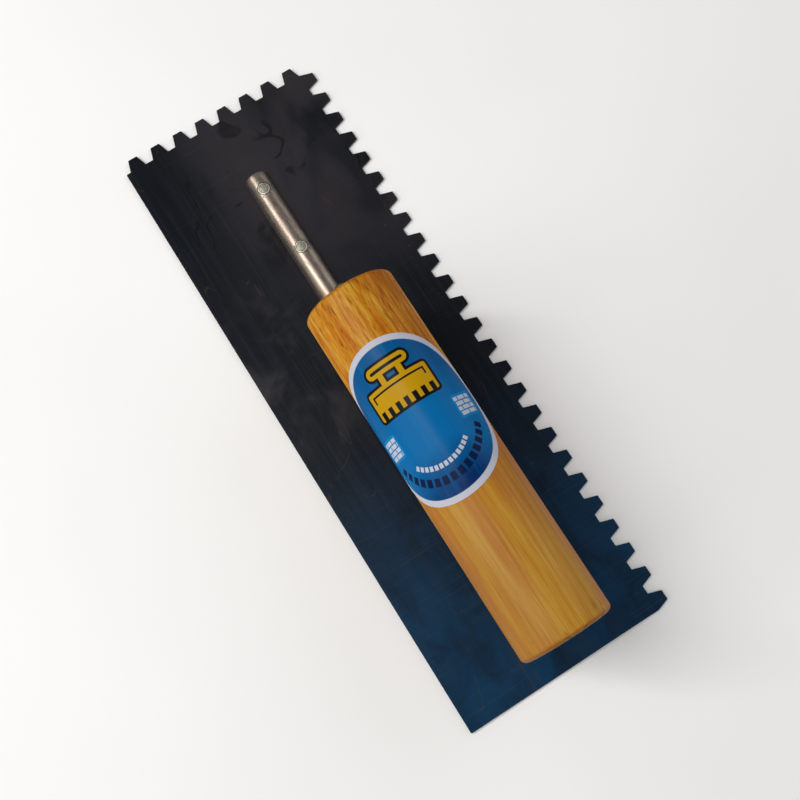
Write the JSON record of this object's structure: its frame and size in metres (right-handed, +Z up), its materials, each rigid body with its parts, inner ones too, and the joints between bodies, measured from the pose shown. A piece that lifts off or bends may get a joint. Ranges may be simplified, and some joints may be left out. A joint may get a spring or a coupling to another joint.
{
  "type": "notched trowel",
  "caption": "Rectangular steel trowel with trapezoid notches on one long side and one short end, a half-round spine bar and a round wooden handle on a bent neck.",
  "frame": {"origin": "centre of the blade's underside, on the surface that the trowel lies on", "axes": "+Z up out of the blade's top face, +Y towards the notched short end, +X towards the notched long side"},
  "size_m": [0.09, 0.27, 0.0627],
  "materials": {
    "blade_steel": "blued spring steel with fine lengthwise rolling lines",
    "bar_steel": "bare drawn steel, slightly mottled",
    "rivet_steel": "ground flush, slightly pitted",
    "neck_steel": "bare forged steel",
    "handle_wood": "amber varnish over straight grain",
    "label_film": "glossy printed film, blue with a pale border"
  },
  "bodies": {
    "root": {"blade": "blade_steel", "spine_bar": "bar_steel", "rivet_1": "rivet_steel", "rivet_2": "rivet_steel", "rivet_3": "rivet_steel", "rivet_4": "rivet_steel", "rivet_5": "rivet_steel", "rivet_6": "rivet_steel", "neck": "neck_steel", "handle": "handle_wood", "label": "label_film"}
  },
  "joints": []
}
